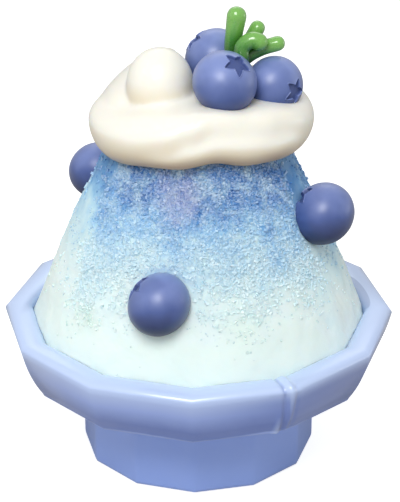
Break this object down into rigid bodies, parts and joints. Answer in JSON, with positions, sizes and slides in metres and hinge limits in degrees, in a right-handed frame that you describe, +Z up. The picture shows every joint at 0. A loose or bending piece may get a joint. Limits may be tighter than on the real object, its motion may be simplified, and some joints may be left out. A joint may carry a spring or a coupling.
{
  "type": "shaved ice dessert",
  "caption": "Cone of blue-tinted shaved ice in a faceted footed bowl, topped with whipped cream, blueberries and a small green sprig.",
  "frame": {"origin": "centre of the flat underside of the bowl's foot, at table height", "axes": "+Z up, -Y towards the front of the dessert, +X to the right as seen from the front"},
  "size_m": [0.12, 0.12, 0.1432],
  "materials": {
    "bowl_glaze": "gloss",
    "shaved_ice": "satin",
    "cream": "satin",
    "blueberry_skin": "satin",
    "green_shoot": "gloss"
  },
  "bodies": {
    "root": {"bowl": "bowl_glaze", "shaved_ice": "shaved_ice", "cream": "cream", "berry_top_front": "blueberry_skin", "berry_top_right": "blueberry_skin", "berry_top_back": "blueberry_skin", "berry_ice_front": "blueberry_skin", "berry_ice_right": "blueberry_skin", "berry_ice_left": "blueberry_skin", "herb_sprig": "green_shoot"}
  },
  "joints": []
}
